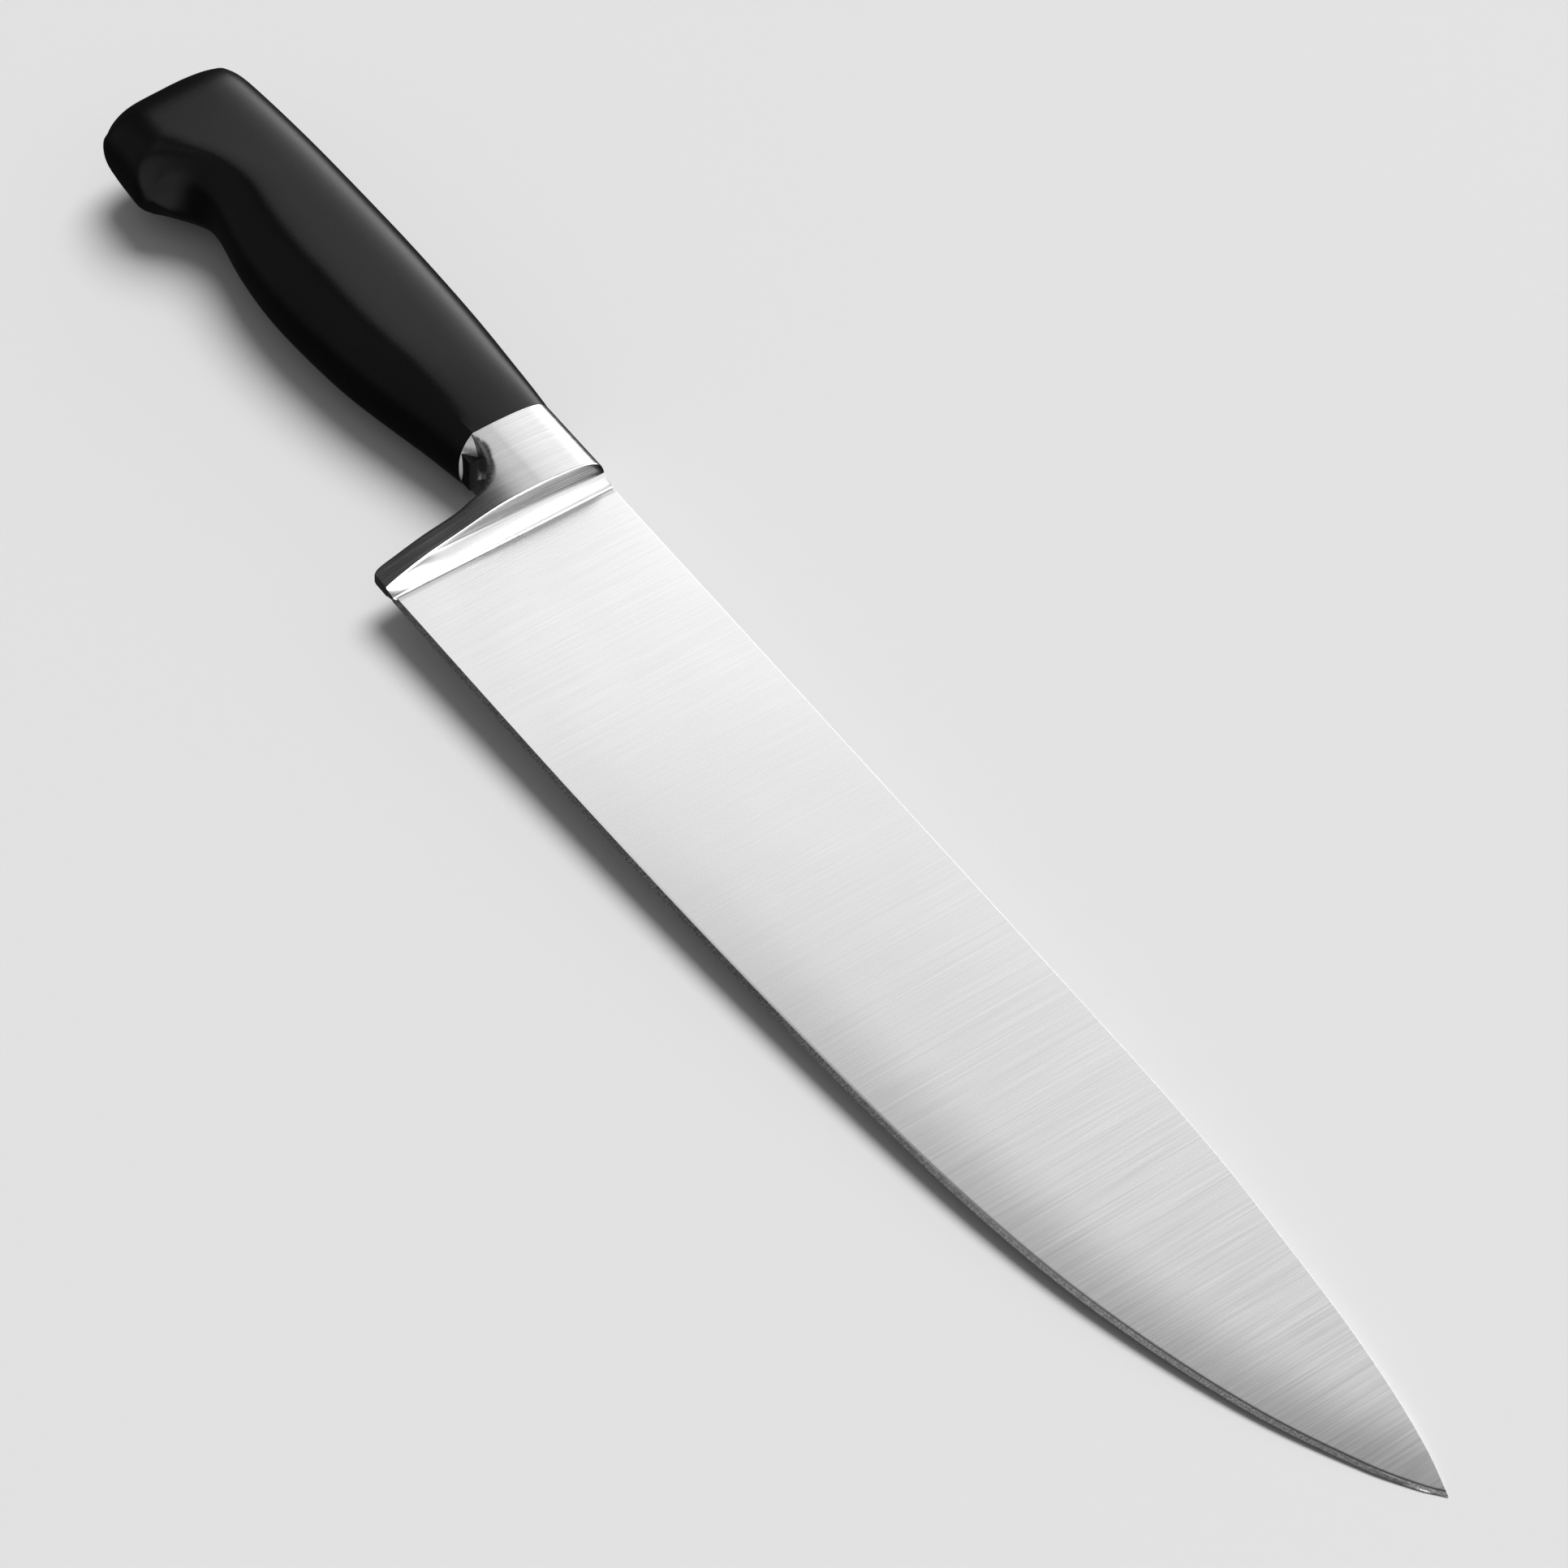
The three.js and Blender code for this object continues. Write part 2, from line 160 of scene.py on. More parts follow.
# Towards the butt, the cheek of the handle falls away a little from the spine side to the hook.
CROWN_START_X = -95.0
CROWN_RUN = 25
CROWN_TOP_Y = -5.0
CROWN_DEPTH = 20
CROWN_DROP = 0.03
# X of the two ends of each hollow inside the shells.
POCKETS = ((-66.5, -43.0), (-78.5, -69.5), (-101.0, -81.5))

TANG_START_X = JOINT_X + 3
TANG_END_X = -114.0
TANG_MID_Y = -11.5
TANG_HALF_THICKNESS = 2.0
TANG_FRONT_HALF_HEIGHT = 7.0
TANG_END_HALF_HEIGHT = 4.5
SLOT_CLEARANCE = 0.3
SLEEVE_END_X = -42.0
SLEEVE_CLEARANCE = 1.8


# ---- where the knife lies, from the CAD frame -------------------------------------------------------

def knife_matrix():
    """The knife's own frame, in millimetres, laid down in the row frame, in metres."""
    steel_low, steel_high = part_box("blade_bolster_tang")
    shell_low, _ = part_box("handle_shell_right")
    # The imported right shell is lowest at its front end, just above the knife's middle plane.
    shell_front_x, shell_bottom_z = -22.0, 0.15
    origin = Vector((
        steel_high.x - MM * (BLADE_LENGTH * math.cos(REST_TILT) + PLACE_SLACK),
        steel_low.y - MM * HEEL_EDGE_Y,
        shell_low.z - MM * (shell_bottom_z - shell_front_x * math.sin(REST_TILT) - PLACE_SLACK),
    ))
    return Matrix.Translation(origin) @ Matrix.Rotation(REST_TILT, 4, "Y") @ Matrix.Scale(MM, 4)


KNIFE = knife_matrix()


# ---- curves -----------------------------------------------------------------------------------------

def curve_through(points):
    """A function of x: a cubic curve through (x, value) points, which are in order of x."""
    def slope(i):
        a = points[max(i - 1, 0)]
        b = points[min(i + 1, len(points) - 1)]
        return (b[1] - a[1]) / (b[0] - a[0])

    def value(x):
        x = min(max(x, points[0][0]), points[-1][0])
        i = max(j for j in range(len(points) - 1) if points[j][0] <= x)
        (x0, v0), (x1, v1) = points[i], points[i + 1]
        width = x1 - x0
        t = (x - x0) / width
        blend = t * t * (3 - 2 * t)
        bulge = t * (1 - t) * ((1 - t) * slope(i) - t * slope(i + 1)) * width
        return v0 + (v1 - v0) * blend + bulge

    return value


def lerp(a, b, t):
    return a + (b - a) * t


def smooth(t):
    t = min(max(t, 0.0), 1.0)
    return t * t * (3 - 2 * t)


# By x: the outline of the blade, along its spine and along its edge.
spine_y = curve_through([
    (0, 0), (158, 0), (185, -0.6), (205, -2.1), (225, -4), (240, -6.2), (252, -8.8), (260, -11.35),
])
edge_y = curve_through([
    (-2, -49.7), (60, -48.7), (110, -46.9), (155, -44), (185, -40.2),
    (208, -35), (230, -27.9), (248, -19.6), (256, -14.7), (260, -11.45),
])

# By x: half the blade's thickness at its spine, and at the top of its edge bevel.
spine_half = curve_through([
    (-2, HEEL_HALF_THICKNESS), (60, 1.5), (130, 1.2), (200, 0.9), (245, 0.55), (260, 0.12),
])
bevel_half = curve_through([(-2, 0.26), (100, 0.24), (140, 0.15), (180, 0.09), (260, 0.08)])

# By y: the bolster's cheek, its fillet to the belly, its front crease and the back of the finger guard.
cheek_half = curve_through([
    (-49.3, 1.3), (-46.5, 2.0), (-41, 3.3), (-33, 5.0), (-27, 6.5), (-24, 7.15), (-21, 7.62),
    (-17.8, 7.92), (-13, 8.2),
])
cheek_fillet = curve_through([(-49.3, 0.25), (-44, 0.5), (-35, 0.8), (-27, 1.2), (-20, 1.2)])
crease_x = curve_through([
    (-49.3, -2.6), (-45, -3.1), (-38, -3.65), (-20, -3.75), (-8, -3.5), (0, -3.1),
])
guard_back_x = curve_through([
    (-49.3, -6.9), (-48.3, -7.5), (-44, -7.9), (-37.4, -8.4), (-30, -8.6), (-26.6, -9.2),
])

# By x: half the handle's thickness.
handle_half = curve_through([
    (-137.9, 9.4), (-128, 10.2), (-118, 10.6), (-95, 10.6), (-68, 11), (-42, 10.1), (-21.7, 8.2),
])

# The belly flank: share of the full height, by the square root of the depth inside the outline over the
# flank's width. It is nearly straight up to a soft ridge at 1.
flank_share = curve_through([
    (0, 0), (0.19, 0.31), (0.37, 0.5), (0.52, 0.615), (0.74, 0.775), (0.94, 0.93),
    (1.02, 0.972), (1.12, 0.99), (1.3, 1),
])
# By x: how wide that flank is.
flank_width = curve_through([
    (-137.9, 3.6), (-113, 4.0), (-107, 4.8), (-98, 6.6), (-75, 7.3), (-60, 6.6), (-47, 6.0),
    (-21.7, 5.0),
])


def superellipse(u, squareness):
    """(run, rise) of a quarter of a rounded square, each from 0 to 1, as u goes from 0 to 1."""
    angle = u * math.pi / 2
    power = 2 / squareness
    return 1 - max(math.cos(angle), 0.0) ** power, math.sin(angle) ** power


def distance_to(x, y, line):
    """Distance from a point to a line of (x, y) points."""
    best = math.inf
    for (x0, y0), (x1, y1) in zip(line, line[1:]):
        dx, dy = x1 - x0, y1 - y0
        t = min(max(((x - x0) * dx + (y - y0) * dy) / (dx * dx + dy * dy), 0.0), 1.0)
        best = min(best, math.hypot(x - x0 - t * dx, y - y0 - t * dy))
    return best


# ---- meshes -----------------------------------------------------------------------------------------

def add_object(name, bm):
    """A mesh object from bm, which is in the knife's own frame, laid down in the row frame."""
    bmesh.ops.remove_doubles(bm, verts=bm.verts, dist=1e-4)
    bmesh.ops.dissolve_degenerate(bm, edges=bm.edges, dist=1e-5)
    bmesh.ops.recalc_face_normals(bm, faces=bm.faces)
    bm.transform(KNIFE)
    mesh = bpy.data.meshes.new(name)
    bm.to_mesh(mesh)
    bm.free()
    piece = bpy.data.objects.new(name, mesh)
    bpy.context.scene.collection.objects.link(piece)
    return piece


def add_rings(bm, rings):
    """Vertices for each closed ring of (x, y, z) points, and the quads between neighbouring rings."""
    rows = [[bm.verts.new(p) for p in ring] for ring in rings]
    count = len(rings[0])
    for near, far in zip(rows, rows[1:]):
        for k in range(count):
            j = (k + 1) % count
            bm.faces.new((near[k], near[j], far[j], far[k]))
    return rows


def mirrored(upper):
    """A closed ring from its upper half, which starts and ends on the middle plane."""
    return upper + [(x, y, -z) for x, y, z in reversed(upper[1:-1])]


def loft_mirrored(name, halves):
    """A closed mesh through sections, each given by its upper half."""
    bm = bmesh.new()
    rows = add_rings(bm, [mirrored(half) for half in halves])
    bm.faces.new(rows[0])
    bm.faces.new(rows[-1])
    return add_object(name, bm)


def combine(piece, other, operation):
    """Boolean of two closed meshes, applied to the first. The second is removed."""
    modifier = piece.modifiers.new("combine", "BOOLEAN")
    modifier.operation = operation
    modifier.solver = "EXACT"
    modifier.object = other
    depsgraph = bpy.context.evaluated_depsgraph_get()
    result = bpy.data.meshes.new_from_object(piece.evaluated_get(depsgraph))
    piece.modifiers.clear()
    old = piece.data
    piece.data = result
    bpy.data.meshes.remove(old)
    bpy.data.objects.remove(other)
    return piece


def shade(piece, sharp_degrees):
    """Smooth shading, kept crisp along edges that turn more than the given angle."""
    bm = bmesh.new()
    bm.from_mesh(piece.data)
    for face in bm.faces:
        face.smooth = True
    for edge in bm.edges:
        edge.smooth = edge.calc_face_angle(0.0) < math.radians(sharp_degrees)
    bm.to_mesh(piece.data)
    bm.free()
    return piece


# ---- blade ------------------------------------------------------------------------------------------

def blade_half(x, y):
    """Half thickness of the ground face: straight from the spine down to the edge bevel."""
    top, bottom = spine_y(x), edge_y(x) + BEVEL_HEIGHT
    t = min(max((top - y) / (top - bottom), 0.0), 1.0)
    return lerp(spine_half(x), bevel_half(x), t)


def blade_section(x, inset=0.0):
    """Upper half of the blade's section: spine, eased corner, ground face, bevel, edge."""
    top = spine_y(x) - inset
    edge = edge_y(x) + 2 * inset
    half = spine_half(x)
    fade = max(min(1.0, (BLADE_LENGTH - x) / TIP_FADE), TIP_SHARE)
    ease = SPINE_EASE * half / HEEL_HALF_THICKNESS
    bevel_top = edge + BEVEL_HEIGHT * fade
    shoulder = min(bevel_half(x), half)
    points = [(x, top, 0.0)]
    for i in range(EASE_STEPS + 1):
        angle = i / EASE_STEPS * math.pi / 2
        points.append((x, top - ease * (1 - math.cos(angle)), half - ease + ease * math.sin(angle)))
    strip = EDGE_STRIP * fade
    face_top, face_bottom = top - ease, bevel_top + strip
    slope = (half - shoulder) / (face_top - bevel_top) if face_top > bevel_top else 0.0
    points.append((x, face_top - strip, half - slope * strip))
    for i in range(1, FACE_STEPS + 1):
        y = lerp(face_top - strip, face_bottom, i / FACE_STEPS)
        points.append((x, y, half - slope * (face_top - y)))
    points.append((x, bevel_top, shoulder))
    points.append((x, bevel_top - strip, shoulder * (1 - strip / (bevel_top - edge))))
    points.append((x, lerp(bevel_top, edge, 0.5), shoulder * 0.5))
    points.append((x, edge, 0.0))
    return points


def make_blade():
    """The blade, from sections that stand closer together towards the tip."""
    stations = [2.0 * i for i in range(100)] + [200 + 1.2 * i for i in range(45)]
    stations += [254 + 0.5 * i for i in range(12)] + [259.8, 260.0]
    halves = [blade_section(-1.5, inset=0.4), blade_section(-0.05)]
    halves += [blade_section(x) for x in stations]
    return loft_mirrored("blade", halves)


# ---- bolster ----------------------------------------------------------------------------------------

def scoop_y(x):
    """Rear outline of the bolster under the neck: the finger scoop."""
    across = max((x - SCOOP_START_X) / SCOOP_LENGTH, 0.0)
    return NECK_BELLY_Y - SCOOP_DEPTH * (1 - math.sqrt(1 - across ** 2))


def swell_rise(z):
    """How far the handle's section at the joint lies above its lowest point, at height z."""
    return (JOINT_RIDGE_Y - JOINT_BELLY_Y) * (z / JOINT_RIDGE_Z) ** JOINT_ARC


def swell_stations():
    """X of the rings across the swell, where the arc of its front edge passes evenly spaced heights."""
    heights = [7.2, 6.5, 5.8, 5.1, 4.4, 3.7, 3.0, 2.3, 1.6, 0.8]
    return [JOINT_X + (NECK_BELLY_Y - JOINT_BELLY_Y - swell_rise(z)) / SWELL_SLOPE for z in heights]


def bolster_rows():
    """Y of each row of points, from the spine down to the heel."""
    round_steps = 18
    runs = [superellipse(i / round_steps, SQUARENESS)[0] for i in range(round_steps + 1)]
    rows = [-BOLSTER_ROUND * run for run in runs]
    rows += [-14.2, -15.2, -16.0, -16.7, -17.2, -17.6, -17.85, NECK_BELLY_Y]
    rows += [scoop_y(x) for x in swell_stations() if x > SCOOP_START_X]
    rows += [-18.3, -18.4, -18.55, -18.75, -19.0, -19.3, -19.6, -20.2]
    rows += [-21.0, -21.9, -22.9, -23.9, -24.9, -25.8, -26.6]
    rows += [-27.6, -28.8, -30.2, -31.8, -33.6, -35.5, -37.5, -39.5, -41.5, -43.3, -45.0, -46.4]
    rows += [-47.5, -48.3, -48.8, -49.1, HEEL_Y]
    return rows


BOLSTER_ROWS = bolster_rows()


def belly_x(y):
    """Rear outline of the bolster at y, below the neck: the finger scoop, then the guard's back."""
    if y <= NECK_BELLY_Y - SCOOP_DEPTH:
        return guard_back_x(y)
    rise = 1 + (y - NECK_BELLY_Y) / SCOOP_DEPTH
    return SCOOP_START_X + SCOOP_LENGTH * math.sqrt(max(1 - rise ** 2, 0.0))


def belly_outline():
    """Outline of the bolster on the belly side, from behind the joint down to the heel."""
    outline = [(-30.0, NECK_BELLY_Y), (SCOOP_START_X, NECK_BELLY_Y)]
    outline += [(belly_x(y), y) for y in BOLSTER_ROWS if y < NECK_BELLY_Y]
    return outline


BELLY_OUTLINE = belly_outline()


def spine_round_height(y):
    """Height of the rounded cheek near the spine, on the bolster and on the handle at the joint."""
    depth = max(1 + y / BOLSTER_ROUND, 0.0)
    return BOLSTER_HALF * (1 - depth ** SQUARENESS) ** (1 / SQUARENESS)


def cheek_height(x, y):
    """Height of the bolster's cheek: rounded at the spine, filleted towards the belly and guard."""
    if y > -BOLSTER_ROUND:
        return spine_round_height(y)
    radius = cheek_fillet(y) * lerp(*FILLET_SHARES, smooth((x - FILLET_START_X) / FILLET_RUN))
    reach = distance_to(x, y, BELLY_OUTLINE)
    drop = 0.0 if reach > radius else radius - math.sqrt(radius ** 2 - (radius - reach) ** 2)
    return cheek_half(y) - drop


def bolster_half_ring(x_at, last_row, height):
    """Upper half of a ring: rows down to last_row on the cheek, then the wall down to the middle plane.

    Near the joint the wall swells out, below the arc where its last SWELL_STEPS points begin.
    """
    upper = [(x_at(y), y, height(x_at(y), y)) for y in BOLSTER_ROWS[:last_row + 1]]
    x, wall_y, wall_top = upper[-1]
    shift = SWELL_SLOPE * (x - JOINT_X)
    reach = (wall_y - JOINT_BELLY_Y - shift) / (JOINT_RIDGE_Y - JOINT_BELLY_Y)
    swells = reach > 0
    highest = wall_top * 0.99
    arc = min(JOINT_RIDGE_Z * reach ** (1 / JOINT_ARC), highest) if swells else PLAIN_ARC
    wall_steps = len(BOLSTER_ROWS) - last_row - 1 + WALL_STEPS
    for i in range(1, wall_steps + 1):
        upper.append((x, wall_y, lerp(wall_top, arc, i / wall_steps)))
    for i in range(1, SWELL_STEPS + 1):
        z = arc * (1 - i / SWELL_STEPS)
        y = JOINT_BELLY_Y + shift + swell_rise(z) if swells else wall_y
        upper.append((x, y, z))
    return upper


def crease_round(y):
    """Radius of the rounded crease between the cheek and the wedge, less where the cheek is thin."""
    return min(CREASE_ROUND, CREASE_ROUND_SHARE * cheek_half(y))


def crease_foot(y):
    """Height at which the rounded crease ends and the wedge begins."""
    return cheek_height(crease_x(y), y) - crease_round(y)


def cove_top(y):
    """Height at which the wedge ends and the cove begins."""
    return min(COVE_TOP, crease_foot(y) - LEAST_WEDGE)


def crease_ring(turn):
    """A ring on the rounded crease: turn runs from 0 on the cheek to 1 on the wedge."""
    angle = turn * math.pi / 2

    def x_at(y):
        return crease_x(y) - crease_round(y) * (1 - math.sin(angle))

    def height(x, y):
        return crease_foot(y) + crease_round(y) * math.cos(angle)

    return bolster_half_ring(x_at, len(BOLSTER_ROWS) - 1, height)


def wedge_ring(share):
    """A ring on the steep wedge, from 0 at the crease to 1 at the top of the cove."""
    def x_at(y):
        return crease_x(y) + WEDGE_LEAN * share * (crease_foot(y) - cove_top(y))

    def height(x, y):
        return lerp(crease_foot(y), cove_top(y), share)

    return bolster_half_ring(x_at, len(BOLSTER_ROWS) - 1, height)


def cove_ring(forward, height_share):
    """A ring on the cove: forward runs from 0 at the wedge to 1 at the cove's foot."""
    def x_at(y):
        start = crease_x(y) + WEDGE_LEAN * (crease_foot(y) - cove_top(y))
        return lerp(start, COVE_FOOT_X, forward)

    def height(x, y):
        foot = min(blade_half(0, y) + COVE_LIP, cove_top(y))
        return lerp(foot, cove_top(y), height_share)

    return bolster_half_ring(x_at, len(BOLSTER_ROWS) - 1, height)


def buried_ring(foot):
    """The last ring, just inside the blade, so that the bolster and the blade overlap."""
    x, heel_inset, spine_inset, depth = 0.4, 0.6, 0.5, 0.15
    ring = []
    for _, y, z in foot:
        y_in = min(max(y, HEEL_Y + heel_inset), -spine_inset)
        ring.append((x, y_in, min(z, blade_half(0, y_in) - depth)))
    return ring


def make_bolster():
    """The bolster: rings from the joint along the scoop, over the crease, down the wedge and cove."""
    last = len(BOLSTER_ROWS) - 1
    neck_row = BOLSTER_ROWS.index(NECK_BELLY_Y)
    halves = []
    for x in (JOINT_X, SCOOP_START_X):
        halves.append(bolster_half_ring(lambda y, x=x: x, neck_row, cheek_height))
    for row in range(neck_row + 1, last + 1):
        x = belly_x(BOLSTER_ROWS[row])
        halves.append(bolster_half_ring(lambda y, x=x: x, row, cheek_height))
    back_x = belly_x(HEEL_Y)
    for share in GUARD_RINGS:
        halves.append(bolster_half_ring(
            lambda y, s=share: lerp(back_x, crease_x(y), s), last, cheek_height))
    halves += [crease_ring(i / CREASE_STEPS) for i in range(CREASE_STEPS + 1)]
    halves += [wedge_ring(share) for share in (0.33, 0.67, 1.0)]
    halves += [cove_ring(forward, height_share) for forward, height_share in COVE_PROFILE]
    halves.append(buried_ring(halves[-1]))
    return loft_mirrored("bolster", halves)


def tang_half_height(x):
    """Half height of the tang, which tapers towards its end."""
    share = (x - JOINT_X) / (TANG_END_X - JOINT_X)
    return lerp(TANG_FRONT_HALF_HEIGHT, TANG_END_HALF_HEIGHT, share)


def make_tang(name, start_x, end_x, clearance):
    """A flat tapering bar in the handle's middle plane, larger all round by the clearance."""
    halves = []
    for x in (end_x - clearance, start_x):
        high = tang_half_height(x) + clearance
        thick = TANG_HALF_THICKNESS + clearance
        top, bottom = TANG_MID_Y + high, TANG_MID_Y - high
        halves.append([(x, top, 0.0), (x, top, thick), (x, bottom, thick), (x, bottom, 0.0)])
    return loft_mirrored(name, halves)


def wedge_share(p):
    """How much painted shade the wedge gets: 1 on the steep wedge between the crease and the cove, less
    where it is low, and 0 elsewhere.
    """
    if not (HEEL_Y < p.y < 0 and -SORT_MARGIN < p.x - crease_x(p.y) < WEDGE_REACH):
        return 0.0
    top, bottom = crease_foot(p.y), cove_top(p.y)
    if not bottom - SORT_MARGIN < abs(p.z) < top + SORT_MARGIN:
        return 0.0
    return min((top - bottom) / WEDGE_FULL_HEIGHT, 1.0)


def finish_and_highlight_share(p):
    """1 on the blade, 0 on the bolster, and on the cove less above, as painted shade, and more at the
    heel, as a painted highlight.
    """
    if p.x < crease_x(p.y) - SORT_MARGIN:
        return 0.0
    if p.x < COVE_FOOT_X - SORT_MARGIN:
        return lerp(COVE_SHADED, COVE_HIGHLIGHT, smooth((COVE_SHADED_Y - p.y) / COVE_HIGHLIGHT_RUN))
    return 1.0


def mark_steel(steel):
    """Stores at each point its distance above the edge bevel, its wedge share, and its share of finish
    and painted highlight.
    """
    bevel = steel.data.attributes.new(BEVEL_ATTRIBUTE, "FLOAT", "POINT")
    wedge = steel.data.attributes.new(WEDGE_ATTRIBUTE, "FLOAT", "POINT")
    finish_and_highlight = steel.data.attributes.new(FINISH_AND_HIGHLIGHT_ATTRIBUTE, "FLOAT", "POINT")
    to_knife = KNIFE.inverted()
    for vertex in steel.data.vertices:
        p = to_knife @ vertex.co
        above = p.y - edge_y(p.x) - BEVEL_HEIGHT if p.x > 0 else NO_BEVEL
        bevel.data[vertex.index].value = above
        wedge.data[vertex.index].value = wedge_share(p)
        finish_and_highlight.data[vertex.index].value = finish_and_highlight_share(p)


def make_steel():
    """The one steel forging: blade, bolster and tang."""
    steel = make_blade()
    steel = combine(steel, make_bolster(), "UNION")
    steel = combine(steel, make_tang("tang", TANG_START_X, TANG_END_X, 0.0), "UNION")
    steel.name = "steel_forging"
    mark_steel(steel)
    return shade(steel, 20)


# ---- handle -----------------------------------------------------------------------------------------

def bezier(start, a, b, end, steps):
    """Points along a cubic Bezier curve, without its first."""
    points = []
    for i in range(1, steps + 1):
        t = i / steps
        s = 1 - t
        points.append(tuple(
            s ** 3 * p0 + 3 * s * s * t * p1 + 3 * s * t * t * p2 + t ** 3 * p3
            for p0, p1, p2, p3 in zip(start, a, b, end)
        ))
    return points


def grip_curve(points):
    """Points of a smooth curve through (x, y) points, walked from the joint towards the butt."""
    curve = curve_through(sorted(points))
    (start_x, _), (end_x, _) = points[0], points[-1]
    steps = int((start_x - end_x) / GRIP_STEP)
    return [(x, curve(x)) for x in (lerp(start_x, end_x, i / steps) for i in range(steps + 1))]


# The round parts of the handle's outline, as Bezier curves: two at the butt, and two at the hook.
GRIP_END = (-100, -25.5)
BUTT_TOP = [(-133.5, -0.35), (-137, -0.5), (-137.85, -1.1), (-137.87, -4.2)]
BUTT_BOTTOM = [(-130.8, -33.1), (-134.9, -32.8), (-136.6, -30.3), (-137, -25)]
HOOK_HOLLOW = [GRIP_END, (-105.5, -24.3), (-109.6, -24), (-113.8, -28)]
HOOK_CORNER = [(-113.8, -28), (-116.2, -30.8), (-116.8, -33.4), (-120.5, -33.5)]


def spine_side_outline():
    """Outline on the spine side, from the joint round the top of the butt."""
    grip = [(JOINT_X, 0), (-32, 0.8), (-44, 1.6), (-64, 1.88), (-86, 1.78), (-106, 1.3), BUTT_TOP[0]]
    points = grip_curve(grip) + bezier(*BUTT_TOP, CORNER_STEPS)
    return points + [(HANDLE_END_X - BUTT_SLIVER, BUTT_FLAT_TOP_Y)]


def belly_side_outline():
    """Outline on the belly side, from the joint round the hook to the bottom of the butt."""
    grip = [
        (JOINT_X, JOINT_BELLY_Y), (-31, -22.3), (-42, -24.5), (-54, -26.6), (-67, -27.8),
        (-79, -28.2), (-91, -27.2), GRIP_END,
    ]
    points = grip_curve(grip) + bezier(*HOOK_HOLLOW, HOLLOW_STEPS)
    points += bezier(*HOOK_CORNER, CORNER_STEPS)
    points += [BUTT_BOTTOM[0]] + bezier(*BUTT_BOTTOM, CORNER_STEPS)
    return points + [(HANDLE_END_X - BUTT_SLIVER, BUTT_FLAT_BOTTOM_Y)]


SPINE_SIDE = spine_side_outline()
BELLY_SIDE = belly_side_outline()


def outline_y(outline, x):
    """Y of an outline at x. The outline's points run from the joint to the butt."""
    for (x0, y0), (x1, y1) in zip(outline, outline[1:]):
        if x1 <= x:
            return lerp(y0, y1, (x - x0) / (x1 - x0))
    return outline[-1][1]


def cut_outline():
    """The outline's four sides, cut at its round corners: spine, butt, underside of the hook, belly."""
    loop = SPINE_SIDE + BELLY_SIDE[::-1]
    middles = [bezier(*corner, 2)[0] for corner in (BUTT_TOP, BUTT_BOTTOM, HOOK_CORNER)]
    cuts = [min(range(len(loop)), key=lambda i, m=middle: math.dist(loop[i], m)) for middle in middles]
    starts, ends = [0] + cuts, cuts + [len(loop) - 1]
    return [loop[start:end + 1] for start, end in zip(starts, ends)]


HANDLE_SIDES = cut_outline()


def round_share(depth, run, squareness):
    """Share of the full height at a depth inside the outline, for an edge that rounds over."""
    return (1 - (1 - min(depth / run, 1.0)) ** squareness) ** (1 / squareness)


def handle_height(x, y, inset):
    """Height of the handle's surface, which falls away towards each side of the outline."""
    spine, butt, hook, belly = (max(distance_to(x, y, side) - inset, 0.0) for side in HANDLE_SIDES)
    share = round_share(spine, *SPINE_ROUND) * round_share(butt, *BUTT_ROUND)
    share *= round_share(hook, *HOOK_ROUND) * flank_share(math.sqrt(belly / flank_width(x)))
    towards_butt = smooth((CROWN_START_X - x) / CROWN_RUN)
    crown = CROWN_DROP * towards_butt * (max(CROWN_TOP_Y - y, 0.0) / CROWN_DEPTH) ** 2
    return (handle_half(x) - inset) * share * (1 - crown)


def joint_belly_height(y):
    """Height of the joint's section on the belly side: the arc up to the ridge, then nearly flat."""
    if y < JOINT_RIDGE_Y:
        rise = max(y - JOINT_BELLY_Y, 0.0) / (JOINT_RIDGE_Y - JOINT_BELLY_Y)
        return JOINT_RIDGE_Z * rise ** (1 / JOINT_ARC)
    return cheek_half(y)


def handle_stations():
    """X of each section, from the joint to the butt, closer together where the butt rounds over."""
    step, butt_steps = 0.8, 20
    run, squareness = BUTT_ROUND
    start = HANDLE_END_X + run
    steps = int((JOINT_X - start) / step)
    stations = [lerp(JOINT_X, start, i / steps) for i in range(steps)]
    shares = [superellipse(1 - i / butt_steps, squareness)[0] for i in range(butt_steps + 1)]
    return stations + [HANDLE_END_X + run * share for share in shares]


def handle_section(x, inset):
    """Upper half section at x, from the spine side to the belly side."""
    top, bottom = outline_y(SPINE_SIDE, x) - inset, outline_y(BELLY_SIDE, x) + inset
    towards_butt = (JOINT_X - x) / (JOINT_X - HANDLE_END_X)
    core = lerp(top, bottom, lerp(BOLSTER_ROUND / -JOINT_BELLY_Y, 0.5, towards_butt))
    runs = [superellipse(k / SECTION_STEPS, SECTION_SQUARENESS)[0] for k in range(SECTION_STEPS + 1)]
    points = [(x, lerp(top, core, run)) for run in runs]
    points += [(x, lerp(bottom, core, run)) for run in reversed(runs[:-1])]
    section = [Vector((x, y, handle_height(x, y, inset))) for x, y in points]
    short_of_the_end = x > HANDLE_END_X + 1
    if short_of_the_end:
        section[0].z = section[-1].z = 0.0
    return section


def handle_skin():
    """Upper half sections of the handle, eased into the steel's section at the joint."""
    sections = [handle_section(x, 0.0) for x in handle_stations()]
    shifts = []
    for k, p in enumerate(sections[0]):
        height = spine_round_height(p.y) if k <= SECTION_STEPS else joint_belly_height(p.y)
        shifts.append(height - p.z)
    for section in sections:
        keep = 1 - smooth((JOINT_X - section[0].x) / JOINT_BLEND)
        for p, shift in zip(section, shifts):
            p.z += shift * keep
    return sections


